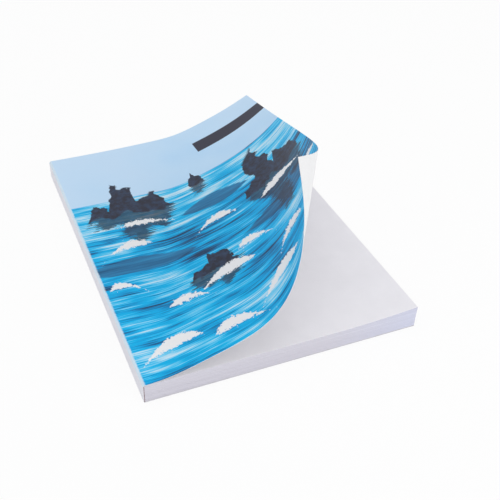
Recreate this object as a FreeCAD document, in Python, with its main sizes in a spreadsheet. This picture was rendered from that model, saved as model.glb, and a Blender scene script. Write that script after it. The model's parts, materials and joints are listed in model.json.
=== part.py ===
import FreeCAD, Part
import math
import os
import Sketcher
from FreeCAD import Vector

# A side-glued writing pad of plain sheets, in millimetres.
# X runs from the glued spine to the free fore edge, Y along the spine, Z up from the table.
# The origin is the middle of the flat underside.

# Driving sizes: the sheets, what holds them, and the card wrapped round them
SIZES = {
    "sheet_width": 210.0,  # spine to fore edge
    "sheet_length": 297.0,  # along the spine
    "stack_thickness": 14.6,  # pressed stack of sheets at the glued spine
    "fan_run": 72.0,  # width of the loose sheets beside the fore edge
    "fan_lift": 3.3,  # how far the top sheet stands up at the fore edge
    "board_thickness": 0.8,  # stiff board under the stack
    "glue_thickness": 0.6,  # padding glue along the spine
    "card_thickness": 0.3,  # thin card of the wrapped cover
    "upper_fold_radius": 1.4,  # inner radius of the fold over the stack
    "lower_fold_radius": 0.5,  # inner radius of the fold under the board
    "cover_clearance": 0.3,  # air between the top sheet and the closed cover
    "hinge_gap": 0.2,  # crease between the fold and the panel that opens
    "cover_reach": 210.0,  # flat width of the opening panel from the spine face
    # The roll of the opening panel: where its first and last bend lines meet the two edges
    "near_bend_start": 3.0,  # first bend line, at the near edge
    "near_bend_end": 193.5,  # last bend line, at the near edge
    "far_bend_start": 121.3,  # first bend line, at the far edge
    "far_bend_end": 924.0,  # last bend line, on the far edge drawn on past the panel
    "far_bend_growth": 2.75,  # how fast the bend lines spread along the far edge
    # How sharply the panel turns along the roll, in radians over its whole run
    "turn_at_start": 2.72,
    "turn_at_quarter": -0.25,
    "turn_at_half": 4.02,
    "turn_at_three_quarters": 2.07,
    "turn_at_end": 2.93,
    # The soft give of the card beside the far edge
    "far_corner_in": 5.6,  # pull of the lifted corner towards the spine
    "far_corner_rise": 3.5,  # extra rise of the corner
    "billow": 3.2,  # upward swell between the corner and the spine
}

doc = FreeCAD.newDocument("WritingPad")
sheet = doc.addObject("Spreadsheet::Sheet", "Sizes")
for row, (alias, value) in enumerate(SIZES.items(), 1):
    sheet.set("A%d" % row, alias)
    sheet.set("B%d" % row, str(value))
    sheet.setAlias("B%d" % row, alias)
doc.recompute()

# Places that several pieces share, as they stand now and as they follow the sheet
CARD = "Sizes.card_thickness"
BLOCK_START = "Sizes.card_thickness + Sizes.glue_thickness"
BLOCK_END = BLOCK_START + " + Sizes.sheet_width"
BOARD_TOP = "Sizes.card_thickness + Sizes.board_thickness"
STACK_TOP = BOARD_TOP + " + Sizes.stack_thickness"
COVER_UNDERSIDE = STACK_TOP + " + Sizes.cover_clearance"
COVER_TOP = COVER_UNDERSIDE + " + Sizes.card_thickness"
MIDDLE = "-(" + BLOCK_END + ") / 2"

card = sheet.card_thickness
block_start = card + sheet.glue_thickness
block_end = block_start + sheet.sheet_width
board_top = card + sheet.board_thickness
stack_top = board_top + sheet.stack_thickness
cover_underside = stack_top + sheet.cover_clearance
cover_top = cover_underside + card


def new_body(label):
    """A body with an upright sketch: sketch X is the pad's X, sketch Y is its Z."""
    body = doc.addObject("PartDesign::Body", label)
    body.Label = label
    sketch = body.newObject("Sketcher::SketchObject", label + "_profile")
    upright = [f for f in body.Origin.OriginFeatures if f.Role == "XZ_Plane"][0]
    sketch.AttachmentSupport = [(upright, "")]
    sketch.MapMode = "FlatFace"
    return body, sketch


def add_line(sketch, x1, z1, x2, z2):
    return sketch.addGeometry(Part.LineSegment(Vector(x1, z1, 0), Vector(x2, z2, 0)))


def add_arc(sketch, x, z, radius, start, end):
    circle = Part.Circle(Vector(x, z, 0), Vector(0, 0, 1), radius)
    arc = Part.ArcOfCircle(circle, math.radians(start), math.radians(end))
    return sketch.addGeometry(arc)


def constrain(sketch, *args):
    return sketch.addConstraint(Sketcher.Constraint(*args))


def bind(sketch, kind, places, value, expression):
    """A dimension that follows the spreadsheet."""
    index = constrain(sketch, kind, *places, value)
    sketch.setExpression("Constraints[%d]" % index, expression)


def extrude_along_spine(body, sketch):
    """The profile runs the whole length of the pad, half to each side of the origin."""
    pad = body.newObject("PartDesign::Pad", body.Label + "_run")
    pad.Profile = sketch
    pad.SideType = "Symmetric"
    pad.setExpression("Length", "Sizes.sheet_length")
    body.setExpression("Placement.Base.x", MIDDLE)


# In the profiles below a place is an edge and 1 for its start, 2 for its end or 3 for its
# centre; edge -1 with 1 is the sketch's own origin, on the outer face of the spine.

# Stack of sheets: square at the glued spine and flat on top. Beside the fore edge the
# loose sheets fan out a little, so the top rises there in a shallow curve.
fan_radius = (sheet.fan_run ** 2 + sheet.fan_lift ** 2) / (2 * sheet.fan_lift)
fan_start = block_end - sheet.fan_run
fan_angle = math.degrees(math.asin(sheet.fan_run / fan_radius))
page_block, profile = new_body("page_block")
bottom = add_line(profile, block_start, board_top, block_end, board_top)
fore = add_line(profile, block_end, board_top, block_end, stack_top + sheet.fan_lift)
top = add_line(profile, fan_start, stack_top, block_start, stack_top)
spine = add_line(profile, block_start, stack_top, block_start, board_top)
fan = add_arc(profile, fan_start, stack_top + fan_radius, fan_radius, 270, 270 + fan_angle)
constrain(profile, "Coincident", bottom, 2, fore, 1)
constrain(profile, "Coincident", fore, 2, fan, 2)
constrain(profile, "Tangent", fan, 1, top, 1)
constrain(profile, "Coincident", top, 2, spine, 1)
constrain(profile, "Coincident", spine, 2, bottom, 1)
constrain(profile, "Horizontal", bottom)
constrain(profile, "Vertical", fore)
constrain(profile, "Horizontal", top)
constrain(profile, "Vertical", spine)
bind(profile, "DistanceX", (-1, 1, bottom, 1), block_start, BLOCK_START)
bind(profile, "DistanceY", (-1, 1, bottom, 1), board_top, BOARD_TOP)
bind(profile, "DistanceX", (bottom, 1, bottom, 2), sheet.sheet_width, "Sizes.sheet_width")
bind(profile, "DistanceY", (bottom, 1, top, 2), sheet.stack_thickness, "Sizes.stack_thickness")
bind(profile, "DistanceX", (top, 1, fore, 2), sheet.fan_run, "Sizes.fan_run")
bind(profile, "DistanceY", (top, 1, fore, 2), sheet.fan_lift, "Sizes.fan_lift")
extrude_along_spine(page_block, profile)

# Stiff board: the same outline as the sheets. It carries the stack and makes the pad firm.
backing_board = doc.addObject("Part::Box", "backing_board")
backing_board.Label = "backing_board"
backing_board.setExpression("Length", "Sizes.sheet_width")
backing_board.setExpression("Width", "Sizes.sheet_length")
backing_board.setExpression("Height", "Sizes.board_thickness")
backing_board.setExpression("Placement.Base.x", MIDDLE + " + " + BLOCK_START)
backing_board.setExpression("Placement.Base.y", "-Sizes.sheet_length / 2")
backing_board.setExpression("Placement.Base.z", CARD)

# Padding glue: a thin rubbery strip that holds every sheet and the board along the spine.
# Its outer corners are cut back so that the card can round the two folds.
spine_glue, profile = new_body("spine_glue")
glue_low = card + sheet.lower_fold_radius
glue_high = cover_underside - sheet.upper_fold_radius
foot = add_line(profile, card, glue_low, block_start, card)
inner = add_line(profile, block_start, card, block_start, stack_top)
head = add_line(profile, block_start, stack_top, card, glue_high)
outer = add_line(profile, card, glue_high, card, glue_low)
constrain(profile, "Coincident", foot, 2, inner, 1)
constrain(profile, "Coincident", inner, 2, head, 1)
constrain(profile, "Coincident", head, 2, outer, 1)
constrain(profile, "Coincident", outer, 2, foot, 1)
constrain(profile, "Vertical", inner)
constrain(profile, "Vertical", outer)
bind(profile, "DistanceX", (-1, 1, foot, 1), card, CARD)
bind(profile, "DistanceX", (foot, 1, foot, 2), sheet.glue_thickness, "Sizes.glue_thickness")
bind(profile, "DistanceY", (-1, 1, foot, 2), card, CARD)
bind(profile, "DistanceY", (-1, 1, foot, 1), glue_low, CARD + " + Sizes.lower_fold_radius")
bind(profile, "DistanceY", (-1, 1, inner, 2), stack_top, STACK_TOP)
bind(profile, "DistanceY", (-1, 1, outer, 1), glue_high, COVER_UNDERSIDE + " - Sizes.upper_fold_radius")
extrude_along_spine(spine_glue, profile)

# Wrapped card: one strip, flat under the board, then a tight fold, the spine, and an
# easier fold that ends where the opening panel is creased.
wrap_cover, profile = new_body("wrap_cover")
low = sheet.lower_fold_radius
high = sheet.upper_fold_radius
low_centre = card + low
high_centre = cover_underside - high
under = add_line(profile, block_end, 0, low_centre, 0)
low_outer = add_arc(profile, low_centre, low_centre, low + card, 180, 270)
back = add_line(profile, 0, low_centre, 0, high_centre)
high_outer = add_arc(profile, card + high, high_centre, high + card, 90, 180)
crease = add_line(profile, card + high, cover_top, card + high, cover_underside)
high_inner = add_arc(profile, card + high, high_centre, high, 90, 180)
lining = add_line(profile, card, high_centre, card, low_centre)
low_inner = add_arc(profile, low_centre, low_centre, low, 180, 270)
seat = add_line(profile, low_centre, card, block_end, card)
edge = add_line(profile, block_end, card, block_end, 0)
constrain(profile, "Tangent", under, 2, low_outer, 2)
constrain(profile, "Tangent", low_outer, 1, back, 1)
constrain(profile, "Tangent", back, 2, high_outer, 2)
constrain(profile, "Coincident", high_outer, 1, crease, 1)
constrain(profile, "Coincident", crease, 2, high_inner, 1)
constrain(profile, "Tangent", high_inner, 2, lining, 1)
constrain(profile, "Tangent", lining, 2, low_inner, 1)
constrain(profile, "Tangent", low_inner, 2, seat, 1)
constrain(profile, "Coincident", seat, 2, edge, 1)
constrain(profile, "Coincident", edge, 2, under, 1)
constrain(profile, "Horizontal", under)
constrain(profile, "Vertical", back)
constrain(profile, "Vertical", crease)
constrain(profile, "Vertical", lining)
constrain(profile, "Horizontal", seat)
constrain(profile, "Vertical", edge)
constrain(profile, "Coincident", low_outer, 3, low_inner, 3)
constrain(profile, "Coincident", high_outer, 3, high_inner, 3)
constrain(profile, "Vertical", high_outer, 3, high_outer, 1)
constrain(profile, "PointOnObject", back, 1, -2)
constrain(profile, "PointOnObject", under, 1, -1)
bind(profile, "Radius", (low_inner,), low, "Sizes.lower_fold_radius")
bind(profile, "Radius", (high_inner,), high, "Sizes.upper_fold_radius")
bind(profile, "DistanceX", (back, 1, lining, 2), card, CARD)
bind(profile, "DistanceX", (-1, 1, under, 1), block_end, BLOCK_END)
bind(profile, "DistanceY", (-1, 1, high_outer, 1), cover_top, COVER_TOP)
extrude_along_spine(wrap_cover, profile)

# Opening panel: a flat sheet of card turned up about many straight bend lines. Each line
# runs from the near edge to the far edge and is set further from the spine than the one
# before, so the near corner rolls over past upright while the far corner only lifts.
BEND_LINES = 96
POLES_ACROSS = 25
POLES_ALONG = 17


def bends():
    """The bend lines with the position that the card beyond each of them is carried to."""
    rates = [sheet.turn_at_start, sheet.turn_at_quarter, sheet.turn_at_half]
    rates += [sheet.turn_at_three_quarters, sheet.turn_at_end]
    near_run = sheet.near_bend_end - sheet.near_bend_start
    far_run = sheet.far_bend_end - sheet.far_bend_start
    carried = FreeCAD.Placement()
    lines = []
    for i in range(BEND_LINES):
        share = (i + 0.5) / BEND_LINES
        near = sheet.near_bend_start + near_run * share
        far = sheet.far_bend_start + far_run * share ** sheet.far_bend_growth
        step = share * (len(rates) - 1)
        first = min(int(step), len(rates) - 2)
        rate = rates[first] + (rates[first + 1] - rates[first]) * (step - first)
        direction = Vector(near - far, -sheet.sheet_length, 0)
        turn = FreeCAD.Rotation(direction, math.degrees(rate / BEND_LINES))
        about = FreeCAD.Placement(Vector(0, 0, 0), turn, Vector(near, 0, 0))
        carried = carried.multiply(about)
        lines.append((near, far, carried))
    return lines


def panel_point(lines, across, along):
    """Where a point of the flat panel lies on the rolled one, and its upward normal."""
    carried = FreeCAD.Placement()
    down_edge = along / sheet.sheet_length
    for near, far, placement in lines:
        if across > near + (far - near) * down_edge:
            carried = placement
    point = carried.multVec(Vector(across, along, 0))
    normal = carried.Rotation.multVec(Vector(0, 0, 1))
    share = across / sheet.cover_reach
    outer_part = (max(share - 0.25, 0) / 0.75) ** 2
    corner = outer_part * down_edge ** 2
    swell = 4 * share ** 2 * (1 - outer_part) * down_edge ** 2
    point.x -= sheet.far_corner_in * corner
    point.z += sheet.far_corner_rise * corner + sheet.billow * swell
    return point, normal


def stations(count):
    """Shares of the way at which the poles of a smooth cubic surface are read."""
    knots = [0, 0, 0] + list(range(count - 2)) + [count - 3] * 3
    return [sum(knots[i + 1:i + 4]) / 3 / (count - 3) for i in range(count)]


def smooth_surface(poles):
    """A cubic surface that runs out exactly at the rim of its net of poles."""
    surface = Part.BSplineSurface()
    knots_u = list(range(len(poles) - 2))
    knots_v = list(range(len(poles[0]) - 2))
    times_u = [4] + [1] * (len(knots_u) - 2) + [4]
    times_v = [4] + [1] * (len(knots_v) - 2) + [4]
    surface.buildFromPolesMultsKnots(poles, times_u, times_v, knots_u, knots_v, False, False, 3, 3)
    return surface


def rolled_panel():
    """A thin closed solid between the panel's upper and lower surfaces."""
    start = card + sheet.upper_fold_radius + sheet.hinge_gap
    lines = bends()
    upper = []
    lower = []
    for share_across in stations(POLES_ACROSS):
        across = start + (sheet.cover_reach - start) * share_across
        upper_row = []
        lower_row = []
        for share_along in stations(POLES_ALONG):
            point, normal = panel_point(lines, across, sheet.sheet_length * share_along)
            point += Vector(0, -sheet.sheet_length / 2, cover_top)
            upper_row.append(point)
            lower_row.append(point - normal * card)
        upper.append(upper_row)
        lower.append(lower_row)
    above = smooth_surface(upper)
    below = smooth_surface(lower)
    u1, u2, v1, v2 = above.bounds()
    faces = [above.toShape(), below.toShape()]
    for rim in (u1, u2):
        faces.append(Part.makeRuledSurface(above.uIso(rim).toShape(), below.uIso(rim).toShape()))
    for rim in (v1, v2):
        faces.append(Part.makeRuledSurface(above.vIso(rim).toShape(), below.vIso(rim).toShape()))
    shell = Part.makeShell(faces)
    shell.sewShape()
    solid = Part.makeSolid(Part.Shell(shell.Faces))
    if solid.Volume < 0:
        solid.reverse()
    return solid


front_cover = doc.addObject("Part::Feature", "front_cover")
front_cover.Label = "front_cover"
front_cover.Shape = rolled_panel()
front_cover.setExpression("Placement.Base.x", MIDDLE)

# Check every object, then write each piece
doc.recompute()
pieces = [page_block, backing_board, spine_glue, wrap_cover, front_cover]
for item in doc.Objects:
    if "Invalid" in item.State or "Error" in item.State:
        raise RuntimeError("%s did not rebuild" % item.Label)
for piece in pieces:
    if piece.Shape.isNull() or not piece.Shape.isValid():
        raise RuntimeError("%s has no sound shape" % piece.Label)
    if len(piece.Shape.Solids) != 1 or piece.Shape.Volume <= 0:
        raise RuntimeError("%s is not one solid" % piece.Label)

os.makedirs("parts", exist_ok=True)
for piece in pieces:
    piece.Shape.exportStep("parts/%s.step" % piece.Label)
    box = piece.Shape.BoundBox
    print("%s: volume %.1f mm3" % (piece.Label, piece.Shape.Volume))
    print("  X %.2f to %.2f, Y %.2f to %.2f" % (box.XMin, box.XMax, box.YMin, box.YMax))
    print("  Z %.2f to %.2f" % (box.ZMin, box.ZMax))
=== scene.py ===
import json
import math
import random

import bmesh
import bpy
import numpy as np
from mathutils import Matrix, Vector

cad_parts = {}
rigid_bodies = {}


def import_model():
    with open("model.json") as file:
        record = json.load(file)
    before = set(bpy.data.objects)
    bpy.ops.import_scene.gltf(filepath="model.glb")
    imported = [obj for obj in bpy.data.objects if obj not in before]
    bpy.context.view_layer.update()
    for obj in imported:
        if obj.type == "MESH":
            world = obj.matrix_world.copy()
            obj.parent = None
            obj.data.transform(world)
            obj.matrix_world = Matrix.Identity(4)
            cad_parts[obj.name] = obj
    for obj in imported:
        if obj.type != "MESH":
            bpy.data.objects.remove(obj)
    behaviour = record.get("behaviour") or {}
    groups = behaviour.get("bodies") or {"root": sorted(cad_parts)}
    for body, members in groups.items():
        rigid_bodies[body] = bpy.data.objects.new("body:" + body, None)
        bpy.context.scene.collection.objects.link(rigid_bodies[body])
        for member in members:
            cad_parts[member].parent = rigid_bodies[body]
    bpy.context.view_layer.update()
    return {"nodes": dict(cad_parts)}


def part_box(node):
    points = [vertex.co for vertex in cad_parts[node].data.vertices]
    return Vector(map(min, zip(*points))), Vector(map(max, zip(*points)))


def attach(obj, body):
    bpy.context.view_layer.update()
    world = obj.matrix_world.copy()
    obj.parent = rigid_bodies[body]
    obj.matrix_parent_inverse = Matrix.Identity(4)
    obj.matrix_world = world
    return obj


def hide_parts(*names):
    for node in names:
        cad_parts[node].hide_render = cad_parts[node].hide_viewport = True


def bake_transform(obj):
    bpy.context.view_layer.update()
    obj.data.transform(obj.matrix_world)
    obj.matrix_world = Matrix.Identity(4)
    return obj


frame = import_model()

random.seed(11)

# ------------------------------------------------------------------ sizes, in metres
stack_low, stack_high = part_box("page_block")
wrap_low, wrap_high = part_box("wrap_cover")
CARD = 0.0003
FOLD_RADIUS = 0.0014
LOW_FOLD_RADIUS = 0.0005
CREASE_GAP = 0.0002
STACK_TOP = 0.0157
FAN_RUN = 0.072
SHEET_LENGTH = 0.297
COVER_REACH = 0.210
SPINE_X = wrap_low.x
COVER_TOP = wrap_high.z
HALF_LENGTH = SHEET_LENGTH / 2

# The roll of the opening card: where its bend lines meet the two edges, and how sharply it turns
NEAR_BENDS = (0.003, 0.1935)
FAR_BENDS = (0.1213, 0.924)
FAR_GROWTH = 2.75
TURN_RATES = (2.72, -0.25, 4.02, 2.07, 2.93)
CORNER_IN = 0.0056
CORNER_RISE = 0.0035
BILLOW = 0.0032
BEND_LINES = 160


# ------------------------------------------------------------------ camera
def aim_camera():
    """Looks down on the pad from its near left corner, as the photograph does."""
    azimuth, height, roll = (math.radians(a) for a in (-24.8, 37.576, 2.877))
    distance, target = 0.651514, Vector((0.025968, -0.019698, 0.0))
    back = Vector((math.sin(azimuth) * math.cos(height), -math.cos(azimuth) * math.cos(height), math.sin(height)))
    right = (-back).cross(Vector((0, 0, 1))).normalized()
    up = right.cross(-back)
    turned_right = right * math.cos(roll) + up * math.sin(roll)
    turned_up = up * math.cos(roll) - right * math.sin(roll)
    data = bpy.data.cameras.new("camera")
    data.sensor_width = 36
    data.lens = 776.295 * 36 / 500
    data.clip_start = 0.01
    camera = bpy.data.objects.new("camera", data)
    bpy.context.scene.collection.objects.link(camera)
    place = Matrix((turned_right, turned_up, back)).transposed().to_4x4()
    place.translation = target + back * distance
    camera.matrix_world = place
    bpy.context.scene.camera = camera


# ------------------------------------------------------------------ material nodes
class Finish:
    """A material made of nodes, with short calls for the ones that the pad uses."""

    def __init__(self, name, roughness=0.6, specular=0.3, sheen=0.0):
        self.material = bpy.data.materials.new(name)
        self.material.use_nodes = True
        self.nodes = self.material.node_tree.nodes
        self.links = self.material.node_tree.links
        self.shader = self.nodes["Principled BSDF"]
        self.shader.inputs["Roughness"].default_value = roughness
        self.shader.inputs["Specular IOR Level"].default_value = specular
        if sheen:
            self.shader.inputs["Sheen Weight"].default_value = sheen

    def put(self, socket, value):
        if isinstance(value, (int, float)):
            socket.default_value = value
        elif isinstance(value, (tuple, list)):
            socket.default_value = (*value, 1.0) if socket.type == "RGBA" else value
        else:
            self.links.new(value, socket)

    def math(self, operation, a, b=0.0, c=0.0, clamp=False):
        node = self.nodes.new("ShaderNodeMath")
        node.operation = operation
        node.use_clamp = clamp
        for socket, value in zip(node.inputs, (a, b, c)):
            self.put(socket, value)
        return node.outputs[0]

    def vector(self, operation, a, b=(0, 0, 0), out=0):
        node = self.nodes.new("ShaderNodeVectorMath")
        node.operation = operation
        self.put(node.inputs[0], a)
        self.put(node.inputs[1], b)
        return node.outputs[out]

    def combine(self, x, y, z=0.0):
        node = self.nodes.new("ShaderNodeCombineXYZ")
        for socket, value in zip(node.inputs, (x, y, z)):
            self.put(socket, value)
        return node.outputs[0]

    def separate(self, vector):
        node = self.nodes.new("ShaderNodeSeparateXYZ")
        self.put(node.inputs[0], vector)
        return node.outputs

    def noise(self, vector, scale, detail=3.0, roughness=0.5):
        node = self.nodes.new("ShaderNodeTexNoise")
        self.put(node.inputs["Vector"], vector)
        node.inputs["Scale"].default_value = scale
        node.inputs["Detail"].default_value = detail
        node.inputs["Roughness"].default_value = roughness
        return node.outputs["Fac"]

    def mix(self, share, a, b):
        node = self.nodes.new("ShaderNodeMix")
        node.data_type = "RGBA"
        node.clamp_factor = True
        self.put(node.inputs[0], share)
        self.put(node.inputs[6], a)
        self.put(node.inputs[7], b)
        return node.outputs[2]

    def ramp(self, value, stops):
        node = self.nodes.new("ShaderNodeValToRGB")
        self.put(node.inputs[0], value)
        ramp = node.color_ramp
        while len(ramp.elements) < len(stops):
            ramp.elements.new(0.5)
        for element, (place, colour) in zip(ramp.elements, stops):
            element.position = place
            element.color = (*colour, 1.0)
        return node.outputs[0]

    def step(self, value, low, high):
        """0 below low, 1 above high and even between them; low may be the higher one."""
        node = self.nodes.new("ShaderNodeMapRange")
        self.put(node.inputs["Value"], value)
        node.inputs["From Min"].default_value = low
        node.inputs["From Max"].default_value = high
        return node.outputs["Result"]

    def place(self, source="Object"):
        return self.nodes.new("ShaderNodeTexCoord").outputs[source]

    def bump(self, height, strength, distance):
        node = self.nodes.new("ShaderNodeBump")
        node.inputs["Strength"].default_value = strength
        node.inputs["Distance"].default_value = distance
        self.put(node.inputs["Height"], height)
        self.put(self.shader.inputs["Normal"], node.outputs[0])

    def colour(self, value):
        self.put(self.shader.inputs["Base Color"], value)
        return self.material


def paper_face():
    """Smooth uncoated writing paper: off-white, a faint cloudiness and a fine tooth."""
    finish = Finish("writing_paper", roughness=0.85, specular=0.15, sheen=0.05)
    spot = finish.place()
    cloud = finish.noise(spot, 55, 4, 0.55)
    fibre = finish.noise(spot, 1400, 5, 0.6)
    share = finish.math("ADD", finish.math("MULTIPLY", cloud, 0.6), finish.math("MULTIPLY", fibre, 0.4))
    finish.bump(fibre, 0.15, 0.00005)
    return finish.colour(finish.ramp(share, ((0.3, (0.835, 0.825, 0.865)), (0.7, (0.885, 0.875, 0.915)))))


def paper_edges_painted_shade():
    """The cut edges of many sheets, seen as fine lines along the block. Their colour is set darker than the top paper,
    as painted shade on the sides, and turns bluer towards the fore edge.
    """
    finish = Finish("cut_sheet_edges_painted_shade", roughness=0.9, specular=0.1)
    spot = finish.place()
    lines = finish.noise(finish.vector("MULTIPLY", spot, (9, 9, 2600)), 1.0, 3, 0.7)
    bundles = finish.noise(finish.vector("MULTIPLY", spot, (5, 5, 420)), 1.0, 2, 0.5)
    share = finish.math("ADD", finish.math("MULTIPLY", lines, 0.6), finish.math("MULTIPLY", bundles, 0.4))
    finish.bump(lines, 0.4, 0.0001)
    # Painted shade: both ramps are darker than the top paper, so the block's sides look shaded
    shaded_warm = finish.ramp(share, ((0.34, (0.595, 0.58, 0.645)), (0.64, (0.69, 0.675, 0.745))))
    shaded_cool = finish.ramp(share, ((0.34, (0.58, 0.59, 0.715)), (0.64, (0.67, 0.69, 0.815))))
    return finish.colour(finish.mix(finish.step(finish.separate(spot)[0], 0.03, 0.10), shaded_warm, shaded_cool))


def plain_card(name, dark, light):
    """The unprinted side of the cover's card."""
    finish = Finish(name, roughness=0.6, specular=0.25)
    spot = finish.place()
    cloud = finish.noise(spot, 40, 4, 0.5)
    fibre = finish.noise(spot, 900, 4, 0.6)
    share = finish.math("ADD", finish.math("MULTIPLY", cloud, 0.5), finish.math("MULTIPLY", fibre, 0.5))
    finish.bump(fibre, 0.08, 0.00005)
    return finish.colour(finish.ramp(share, ((0.35, dark), (0.65, light))))


def grey_board():
    """Pressed grey board with darker and paler fibres."""
    finish = Finish("grey_board", roughness=0.92, specular=0.1)
    spot = finish.place()
    fibre = finish.noise(finish.vector("MULTIPLY", spot, (300, 300, 900)), 1.0, 5, 0.7)
    finish.bump(fibre, 0.3, 0.0001)
    return finish.colour(finish.ramp(fibre, ((0.3, (0.50, 0.49, 0.52)), (0.7, (0.68, 0.67, 0.70)))))


def glue_with_painted_shadow():
    """Dried padding glue: purplish brown, slightly uneven and half glossy. Its dark tone is partly the glue's own
    colour and partly a painted shadow line between the spine card and the sheets.
    """
    finish = Finish("glue_with_painted_shadow", roughness=0.45, specular=0.4)
    spot = finish.place()
    drag = finish.noise(finish.vector("MULTIPLY", spot, (200, 60, 500)), 1.0, 4, 0.6)
    finish.bump(drag, 0.4, 0.0002)
    # Painted shadow: the dark ramp also stands in for the shade in the gap at the spine
    return finish.colour(finish.ramp(drag, ((0.3, (0.16, 0.10, 0.11)), (0.7, (0.34, 0.25, 0.27)))))


# ------------------------------------------------------------------ printed side of the cover
SLATE = (0.022, 0.024, 0.042)
CHALK = (0.90, 0.89, 0.90)
WATERLINE = 214.0

# Sea stacks: place across, foot, half width, height, lean and slope of the top, in millimetres
SEA_STACKS = (
    (44, 192, 14, 42, 0.10, 0.25), (66, 189, 19, 22, -0.1, -0.3), (24, 191, 12, 15, 0.0, 0.2),
    (166, 146, 13, 56, -0.06, -0.2), (186, 143, 16, 28, 0.10, 0.4), (149, 144, 11, 14, -0.05, -0.3),
    (112, 203, 7, 15, 0.05, 0.3), (92, 84, 13, 20, 0.0, 0.3), (75, 82, 10, 11, 0.0, -0.3),
)

# Breaking crests: place across, place along, half length, rise, thickness and tilt
BREAKERS = (
    (92, 74, 23, 7, 5.2, 3), (122, 92, 14, 6, 4.0, -3), (56, 66, 15, 5, 3.8, -2), (30, 26, 22, 8, 5.4, 4),
    (78, 18, 19, 7, 4.8, -3), (124, 30, 23, 8, 5.6, 5), (170, 22, 18, 7, 5.0, -3), (150, 60, 16, 7, 4.6, 3),
    (194, 58, 14, 7, 4.6, 4), (170, 133, 22, 6, 4.6, -2), (34, 146, 18, 6, 4.2, 3), (54, 174, 21, 4, 3.0, -2),
    (108, 142, 17, 6, 4.0, 2), (198, 100, 11, 6, 4.0, 2), (16, 100, 11, 5, 3.4, -2),
)


def sea_stack(finish, jagged, rippled, y, stack):
    """1 on a rock pillar and 0.85 on its broken reflection, for one stack."""
    centre, waterline, half, height, lean, slope = stack
    above = finish.math("SUBTRACT", y, waterline)
    wet = finish.step(above, 1.0, -1.0)
    rise = finish.math("DIVIDE", finish.math("ABSOLUTE", above), height)
    x = finish.math("ADD", jagged, finish.math("MULTIPLY", wet, rippled))
    aside = finish.math("MULTIPLY_ADD", rise, -lean * height, finish.math("SUBTRACT", x, centre))
    aside = finish.math("DIVIDE", aside, half)
    wide = finish.math("MULTIPLY_ADD", rise, 0.42, finish.math("ABSOLUTE", aside))
    tall = finish.math("MULTIPLY_ADD", aside, slope, rise)
    inside = finish.step(finish.math("MAXIMUM", wide, tall), 1.03, 0.97)
    return finish.math("MULTIPLY", inside, finish.math("MULTIPLY_ADD", wet, -0.15, 1.0))


def breaking_crest(finish, x, y, crest):
    """How far inside a curved white crest each place is; it thins out towards both ends."""
    across, along, half, rise, thickness, tilt = crest
    offset = finish.math("DIVIDE", finish.math("SUBTRACT", x, across), half)
    round_off = finish.math("MULTIPLY_ADD", finish.math("MULTIPLY", offset, offset), -1.0, 1.0)
    line = finish.math("MULTIPLY_ADD", round_off, rise, along - rise / 2)
    line = finish.math("MULTIPLY_ADD", offset, tilt, line)
    heavy = finish.math("MAXIMUM", finish.math("MULTIPLY_ADD", offset, math.copysign(0.5, tilt), 1.0), 0.3)
    width = finish.math("MULTIPLY", finish.math("MULTIPLY", round_off, heavy), thickness)
    return finish.math("SUBTRACT", width, finish.math("ABSOLUTE", finish.math("SUBTRACT", y, line)))


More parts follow.
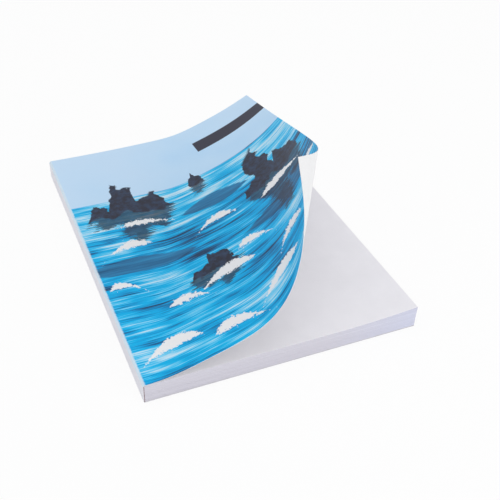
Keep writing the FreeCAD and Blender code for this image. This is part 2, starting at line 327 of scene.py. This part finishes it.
def printed_card():
    """The coated printed side: a pale sky over streaked water, with sea stacks and spray."""
    finish = Finish("printed_card", roughness=0.38, specular=0.16)
    flat = finish.vector("MULTIPLY", finish.place("UV"), (300, 300, 0))
    point = finish.vector("SUBTRACT", flat, (5, 5, 0))
    x, y, _ = finish.separate(point)

    # Sky: paler towards the spine, a deeper blue over the water and at the fore edge
    haze = finish.noise(point, 0.012, 2, 0.5)
    depth = finish.math("MULTIPLY_ADD", x, 0.0016, finish.math("MULTIPLY_ADD", y, -0.0018, haze))
    sky = finish.ramp(depth, ((0.0, (0.59, 0.78, 0.98)), (0.25, (0.56, 0.77, 0.98)), (0.65, (0.44, 0.70, 0.97))))

    # Water: long level streaks whose mix of pale and deep changes down the sheet
    wide = finish.noise(finish.vector("MULTIPLY", point, (0.010, 0.16, 0)), 1.0, 5, 0.62)
    fine = finish.noise(finish.vector("MULTIPLY", point, (0.022, 0.80, 0)), 1.0, 4, 0.6)
    streak = finish.math("ADD", finish.math("MULTIPLY", wide, 0.55), finish.math("MULTIPLY", fine, 0.45))
    level = finish.nodes.new("ShaderNodeFloatCurve")
    curve = level.mapping.curves[0]
    for place, value in ((0.10, 0.56), (0.24, 0.40), (0.42, 0.46), (0.56, 0.30), (0.74, 0.46), (0.92, 0.66)):
        curve.points.new(place, value)
    curve.points[0].location = (0, 0.46)
    curve.points[-1].location = (1, 0.50)
    level.mapping.update()
    finish.put(level.inputs["Value"], finish.math("DIVIDE", y, WATERLINE))
    patch = finish.noise(finish.vector("MULTIPLY", point, (0.020, 0.055, 0)), 1.0, 2, 0.5)
    tone = finish.math("MULTIPLY_ADD", finish.math("SUBTRACT", streak, 0.5), 3.2, level.outputs[0])
    tone = finish.math("MULTIPLY_ADD", finish.math("SUBTRACT", patch, 0.5), 1.3, tone)
    deep = ((0.0, (0.012, 0.045, 0.11)), (0.14, (0.006, 0.15, 0.36)), (0.30, (0.0, 0.36, 0.74)))
    light = ((0.50, (0.0, 0.50, 0.88)), (0.68, (0.16, 0.64, 0.93)), (0.90, (0.62, 0.83, 0.96)))
    water = finish.ramp(tone, deep + light)

    # Swells: broad teal backs, each between a curved crest and a flatter foot
    ripple = finish.math("MULTIPLY", finish.math("SUBTRACT", fine, 0.5), 10.0)
    for low, high, left, right in ((160, 184, 84, 150), (112, 136, -20, 84), (96, 120, 118, 230)):
        offset = finish.math("DIVIDE", finish.math("SUBTRACT", x, (left + right) / 2), (right - left) / 2)
        round_off = finish.math("SUBTRACT", 1.0, finish.math("MULTIPLY", offset, offset))
        crest = finish.math("MULTIPLY_ADD", round_off, (high - low) / 2, (low + high) / 2 - 4)
        foot = finish.math("MULTIPLY_ADD", round_off, -(high - low) / 3, (low + high) / 2 - 3)
        under = finish.math("MULTIPLY_ADD", finish.math("SUBTRACT", crest, y), 1.2, ripple)
        over = finish.math("MULTIPLY_ADD", finish.math("SUBTRACT", y, foot), 1.2, ripple)
        inside = finish.math("MULTIPLY", finish.step(under, 0, 1.2), finish.step(over, 0, 1.2))
        back = finish.ramp(wide, ((0.36, (0.012, 0.10, 0.22)), (0.5, (0.022, 0.17, 0.36)), (0.64, (0.03, 0.26, 0.50))))
        water = finish.mix(inside, water, back)
    sea_line = finish.math("MULTIPLY_ADD", finish.math("SUBTRACT", fine, 0.5), 2.0, y)
    scene = finish.mix(finish.step(sea_line, WATERLINE - 0.6, WATERLINE + 0.6), water, sky)

    # Sea stacks with their reflections
    rough = finish.math("SUBTRACT", finish.noise(point, 0.075, 4, 0.5), 0.5)
    jagged = finish.math("MULTIPLY_ADD", rough, 17.0, x)
    lifted = finish.math("MULTIPLY_ADD", rough, 22.0, y)
    rippled = finish.math("MULTIPLY", finish.math("SUBTRACT", fine, 0.5), 34.0)
    dark = None
    for stack in SEA_STACKS:
        one = sea_stack(finish, jagged, rippled, lifted, stack)
        dark = one if dark is None else finish.math("MAXIMUM", dark, one)
    rock = finish.ramp(finish.noise(point, 0.16, 5, 0.65), ((0.42, SLATE), (0.68, (0.035, 0.060, 0.12))))
    scene = finish.mix(dark, scene, rock)

    # Spray: chalky breaking crests with torn edges, and drops that thin out around them
    grit = finish.noise(point, 0.34, 5, 0.70)
    torn = finish.math("MULTIPLY", finish.math("SUBTRACT", grit, 0.5), 13.0)
    near = None
    for crest in BREAKERS:
        one = breaking_crest(finish, x, y, crest)
        near = one if near is None else finish.math("MAXIMUM", near, one)
    drops = finish.step(finish.math("MULTIPLY_ADD", near, 0.014, grit), 0.615, 0.640)
    white = finish.math("MAXIMUM", finish.step(finish.math("ADD", near, torn), -0.3, 0.5), drops)
    scene = finish.mix(white, scene, CHALK)

    # A bare dark label bar runs in from the fore edge
    across = finish.step(x, 131.7, 132.3)
    along = finish.math("MULTIPLY", finish.step(y, 250.7, 251.3), finish.step(y, 269.3, 268.7))
    scene = finish.mix(finish.math("MULTIPLY", across, along), scene, (0.034, 0.034, 0.056))

    # The fold is rubbed pale and carries a painted highlight: the pale band along the rounded fold is partly wear and
    # partly the light it catches
    fold_wear_and_highlight = finish.math("MULTIPLY_ADD", finish.noise(point, 0.4, 4, 0.6), 1.6, finish.math("MULTIPLY", x, -1.0))
    scene = finish.mix(finish.step(fold_wear_and_highlight, -1.5, -0.3), scene, (0.70, 0.83, 0.93))
    finish.bump(finish.noise(point, 3.0, 3, 0.5), 0.04, 0.00005)
    return finish.colour(scene)


# ------------------------------------------------------------------ modelling helpers
def deselect_all():
    for other in bpy.context.view_layer.objects:
        other.select_set(False)


def finished(name, body, slot, *nodes):
    """The active object becomes a piece of the pad, at the origin, riding its body."""
    piece = bpy.context.view_layer.objects.active
    piece.name = name
    piece.data.name = name
    bpy.ops.object.transform_apply(location=True, rotation=True, scale=True)
    if body:
        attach(piece, body)
    if nodes:
        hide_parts(*nodes)
    return piece


def select_where(mesh, test, kind="VERT"):
    """In edit mode, selects the vertices, edges or faces that the test picks."""
    bpy.ops.mesh.select_mode(type=kind)
    bpy.ops.mesh.select_all(action="DESELECT")
    form = bmesh.from_edit_mesh(mesh)
    group = {"VERT": form.verts, "EDGE": form.edges, "FACE": form.faces}[kind]
    for item in group:
        item.select_set(test(item))
    form.select_flush_mode()
    bmesh.update_edit_mesh(mesh)


def shade(piece, degrees):
    deselect_all()
    piece.select_set(True)
    bpy.context.view_layer.objects.active = piece
    bpy.ops.object.shade_smooth_by_angle(angle=math.radians(degrees))


# ------------------------------------------------------------------ stack of sheets
def sheet_stack():
    """The block of loose sheets: cut edges a little uneven, top fanned up at the fore edge."""
    deselect_all()
    middle = (stack_low + stack_high) / 2
    size = Vector((stack_high.x - stack_low.x, SHEET_LENGTH, STACK_TOP - stack_low.z))
    bpy.ops.mesh.primitive_cube_add(size=1, location=(middle.x, 0, stack_low.z + size.z / 2), scale=size)
    piece = bpy.context.view_layer.objects.active
    bpy.ops.object.transform_apply(location=True, rotation=True, scale=True)
    bpy.ops.object.mode_set(mode="EDIT")
    levels = [stack_low.z + size.z * i / 44 for i in range(1, 44)]
    for level in levels:
        bpy.ops.mesh.select_all(action="SELECT")
        bpy.ops.mesh.bisect(plane_co=(0, 0, level), plane_no=(0, 0, 1))
    for i in range(24):
        bpy.ops.mesh.select_all(action="SELECT")
        bpy.ops.mesh.bisect(plane_co=(stack_high.x - FAN_RUN * i / 24 - 0.0005, 0, 0), plane_no=(1, 0, 0))
    for i in range(1, 12):
        bpy.ops.mesh.select_all(action="SELECT")
        bpy.ops.mesh.bisect(plane_co=(0, -HALF_LENGTH + SHEET_LENGTH * i / 12, 0), plane_no=(0, 1, 0))
    bpy.ops.object.mode_set(mode="OBJECT")
    mesh = piece.data
    lift = stack_high.z - STACK_TOP
    radius = (FAN_RUN ** 2 + lift ** 2) / (2 * lift)
    inward = {}
    for vertex in mesh.vertices:
        spot = vertex.co
        level = round((spot.z - stack_low.z) / size.z * 44)
        if level not in inward:
            inward[level] = [random.uniform(0.0, 0.00016) for _ in range(3)]
        near, far, fore = inward[level]
        share = (spot.z - stack_low.z) / size.z
        if spot.x > stack_high.x - 1e-5:
            spot.x -= fore + 0.0001 * math.sin(share * 3.1)
        if spot.y < -HALF_LENGTH + 1e-5:
            spot.y += near
        elif spot.y > HALF_LENGTH - 1e-5:
            spot.y -= far
        past = spot.x - (stack_high.x - FAN_RUN)
        if past > 0:
            spot.z += share ** 1.3 * (radius - math.sqrt(radius ** 2 - past ** 2))
    mesh.materials.clear()
    mesh.materials.append(paper_face())
    mesh.materials.append(paper_edges_painted_shade())
    for face in mesh.polygons:
        face.material_index = 0 if abs(face.normal.z) > 0.5 else 1
    finished("sheet_stack", "pad", "sheets", "page_block")
    shade(piece, 25)
    return piece


# ------------------------------------------------------------------ spine and back of the card
def spine_and_back():
    """One strip of card under the board and up the spine, with a tight fold between them."""
    deselect_all()
    low_turn = CARD + LOW_FOLD_RADIUS
    start = SPINE_X + low_turn
    width = wrap_high.x - start
    bpy.ops.mesh.primitive_plane_add(size=1, location=(start + width / 2, 0, 0), scale=(1, 1, 1))
    piece = bpy.context.view_layer.objects.active
    piece.scale = (width, SHEET_LENGTH, 1)
    bpy.ops.object.transform_apply(location=True, rotation=True, scale=True)
    bpy.ops.object.mode_set(mode="EDIT")
    mesh = piece.data
    select_where(mesh, lambda e: all(v.co.x < start + 1e-5 for v in e.verts), "EDGE")
    bpy.ops.mesh.spin(steps=8, angle=math.radians(-90), center=(start, 0, low_turn), axis=(0, 1, 0))
    select_where(mesh, lambda e: all(v.co.x < SPINE_X + 1e-6 for v in e.verts), "EDGE")
    rise = COVER_TOP - CARD - FOLD_RADIUS - low_turn
    bpy.ops.mesh.extrude_edges_move(TRANSFORM_OT_translate={"value": (0, 0, rise)})
    bpy.ops.mesh.select_all(action="SELECT")
    bpy.ops.mesh.remove_doubles(threshold=1e-6)
    bpy.ops.mesh.normals_make_consistent(inside=False)
    bpy.ops.object.mode_set(mode="OBJECT")
    form = bmesh.new()
    form.from_mesh(mesh)
    form.faces.ensure_lookup_table()
    under = min(form.faces, key=lambda f: f.calc_center_median().z)
    if under.normal.z > 0:
        bmesh.ops.reverse_faces(form, faces=form.faces)
    form.to_mesh(mesh)
    form.free()
    thicken(piece)
    mesh.materials.append(plain_card("bare_card", (0.80, 0.80, 0.86), (0.86, 0.86, 0.91)))
    finished("spine_and_back_card", "pad", "cover_card", "wrap_cover")
    shade(piece, 40)
    return piece


def thicken(piece, rim_slot=0, inner_slot=0):
    """Gives a sheet of card its thickness, inwards from the outer face."""
    wall = piece.modifiers.new("card", "SOLIDIFY")
    wall.thickness = CARD
    wall.offset = -1
    wall.use_even_offset = True
    wall.material_offset = inner_slot
    wall.material_offset_rim = rim_slot
    deselect_all()
    piece.select_set(True)
    bpy.context.view_layer.objects.active = piece
    bpy.ops.object.modifier_apply(modifier=wall.name)


# ------------------------------------------------------------------ opening card
def rolled(across, along):
    """Points of the flat card, in metres from the spine and the near edge, carried to the roll."""
    shares = (np.arange(BEND_LINES) + 0.5) / BEND_LINES
    near = NEAR_BENDS[0] + (NEAR_BENDS[1] - NEAR_BENDS[0]) * shares
    far = FAR_BENDS[0] + (FAR_BENDS[1] - FAR_BENDS[0]) * shares ** FAR_GROWTH
    turns = np.interp(shares, np.linspace(0, 1, len(TURN_RATES)), TURN_RATES) / BEND_LINES
    carried = Matrix.Identity(4)
    places = [np.array(carried)]
    for foot, head, turn in zip(near, far, turns):
        pivot = Matrix.Translation((foot, 0, 0))
        about = Matrix.Rotation(turn, 4, Vector((foot - head, -SHEET_LENGTH, 0)))
        carried = carried @ pivot @ about @ pivot.inverted()
        places.append(np.array(carried))
    down_edge = along / SHEET_LENGTH
    lines = near[None, :] + (far - near)[None, :] * down_edge[:, None]
    passed = (across[:, None] > lines).sum(1)
    flat = np.stack([across, along, 0 * along, 0 * along + 1], 1)
    spots = np.einsum("nij,nj->ni", np.array(places)[passed], flat)[:, :3]
    share = across / COVER_REACH
    outer = (np.clip(share - 0.25, 0, None) / 0.75) ** 2
    spots[:, 0] -= CORNER_IN * outer * down_edge ** 2
    spots[:, 2] += CORNER_RISE * outer * down_edge ** 2
    spots[:, 2] += BILLOW * 4 * share ** 2 * (1 - outer) * down_edge ** 2
    return spots


def eased(spots, flat, across, along):
    """Spreads the first bends over more of the card, most at the far edge, where they crowd."""
    order = np.lexsort((flat[:, 0], flat[:, 1]))
    rows = order.reshape(len(along), -1)[:, -len(across):]
    strength = (along[:, None, None] / SHEET_LENGTH) ** 2 / 2
    panel = spots[rows]
    for _ in range(90):
        middle = (panel[:, :-2] + panel[:, 2:]) / 2
        panel[:, 1:-1] += strength * (middle - panel[:, 1:-1])
    spots[rows] = panel
    return spots


def front_card():
    """The fold over the stack and the printed panel that opens, as one sheet of card."""
    deselect_all()
    turn = CARD + FOLD_RADIUS
    fold = np.linspace(turn - turn * math.pi / 2, turn, 9)
    panel = np.linspace(turn + CREASE_GAP, COVER_REACH, 120)
    across = np.concatenate([fold, panel])
    along = np.linspace(0, SHEET_LENGTH, 150)
    bpy.ops.mesh.primitive_grid_add(x_subdivisions=len(across) - 1, y_subdivisions=len(along) - 1, size=1)
    piece = bpy.context.view_layer.objects.active
    mesh = piece.data
    flat = np.zeros((len(mesh.vertices), 2))
    for vertex in mesh.vertices:
        i = round((vertex.co.x + 0.5) * (len(across) - 1))
        j = round((vertex.co.y + 0.5) * (len(along) - 1))
        flat[vertex.index] = across[i], along[j]
    spots = rolled(flat[:, 0], flat[:, 1])
    on_fold = flat[:, 0] <= turn
    angle = (turn - flat[on_fold, 0]) / turn
    spots[on_fold, 0] = turn - turn * np.sin(angle)
    spots[on_fold, 1] = flat[on_fold, 1]
    spots[on_fold, 2] = turn * np.cos(angle) - turn
    spots = eased(spots, flat, across[len(fold):], along)
    spots += np.array([SPINE_X, -HALF_LENGTH, COVER_TOP])
    mesh.vertices.foreach_set("co", spots.astype(np.float32).ravel())
    layer = mesh.uv_layers.active or mesh.uv_layers.new(name="UVMap")
    for loop in mesh.loops:
        u, v = flat[loop.vertex_index]
        layer.data[loop.index].uv = ((u + 0.005) / 0.3, (v + 0.005) / 0.3)
    mesh.update()
    mesh.materials.append(printed_card())
    mesh.materials.append(plain_card("white_card", (0.81, 0.81, 0.815), (0.85, 0.85, 0.855)))
    thicken(piece, rim_slot=1, inner_slot=1)
    finished("front_card", None, "cover_card", "front_cover")
    shade(piece, 40)
    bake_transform(piece)
    return piece


# ------------------------------------------------------------------ floor and light
def studio():
    """A plain white floor and room, with one broad soft lamp overhead."""
    finish = Finish("white_floor", roughness=0.9, specular=0.1)
    rays = finish.nodes.new("ShaderNodeLightPath")
    seen = finish.math("MAXIMUM", rays.outputs["Is Camera Ray"], rays.outputs["Is Glossy Ray"])
    seen = finish.math("MAXIMUM", seen, rays.outputs["Is Transmission Ray"])
    finish.colour((0.93, 0.93, 0.935))
    glow = finish.nodes.new("ShaderNodeEmission")
    glow.inputs["Color"].default_value = (1, 1, 1, 1)
    blend = finish.nodes.new("ShaderNodeMixShader")
    finish.put(blend.inputs[0], finish.math("MULTIPLY", seen, 0.9))
    finish.put(blend.inputs[1], finish.shader.outputs[0])
    finish.put(blend.inputs[2], glow.outputs[0])
    finish.put(finish.nodes["Material Output"].inputs[0], blend.outputs[0])
    deselect_all()
    bpy.ops.mesh.primitive_plane_add(size=8, location=(0, 0, -0.0002))
    floor = bpy.context.view_layer.objects.active
    floor.name = "floor"
    floor.data.materials.append(finish.material)

    world = bpy.data.worlds.new("studio")
    bpy.context.scene.world = world
    world.use_nodes = True
    tree = world.node_tree
    air = tree.nodes["Background"]
    rays = tree.nodes.new("ShaderNodeLightPath")
    either = tree.nodes.new("ShaderNodeMath")
    either.operation = "MAXIMUM"
    tree.links.new(rays.outputs["Is Camera Ray"], either.inputs[0])
    tree.links.new(rays.outputs["Is Glossy Ray"], either.inputs[1])
    level = tree.nodes.new("ShaderNodeMapRange")
    level.inputs["To Min"].default_value = 0.56
    level.inputs["To Max"].default_value = 1.0
    tree.links.new(either.outputs[0], level.inputs["Value"])
    tree.links.new(level.outputs["Result"], air.inputs["Strength"])
    air.inputs["Color"].default_value = (0.985, 0.99, 1.0, 1)

    for name, place, size, power in (
        ("overhead", (-0.1, 0.35, 1.7), 1.6, 7.0),
        ("front", (0.9, -1.25, 0.65), 1.3, 10.5),
        ("side", (-1.4, -0.5, 0.7), 1.2, 3.5),
    ):
        data = bpy.data.lights.new(name, "AREA")
        data.shape = "SQUARE"
        data.size = size
        data.energy = power
        lamp = bpy.data.objects.new(name, data)
        bpy.context.scene.collection.objects.link(lamp)
        lamp.location = place
        lamp.rotation_euler = (-Vector(place)).to_track_quat("-Z", "Y").to_euler()
    bpy.context.scene.view_settings.view_transform = "Standard"


def repaint(node, material):
    mesh = frame["nodes"][node].data
    mesh.materials.clear()
    mesh.materials.append(material)


aim_camera()
repaint("backing_board", grey_board())
repaint("spine_glue", glue_with_painted_shadow())
sheet_stack()
spine_and_back()
front_card()
studio()
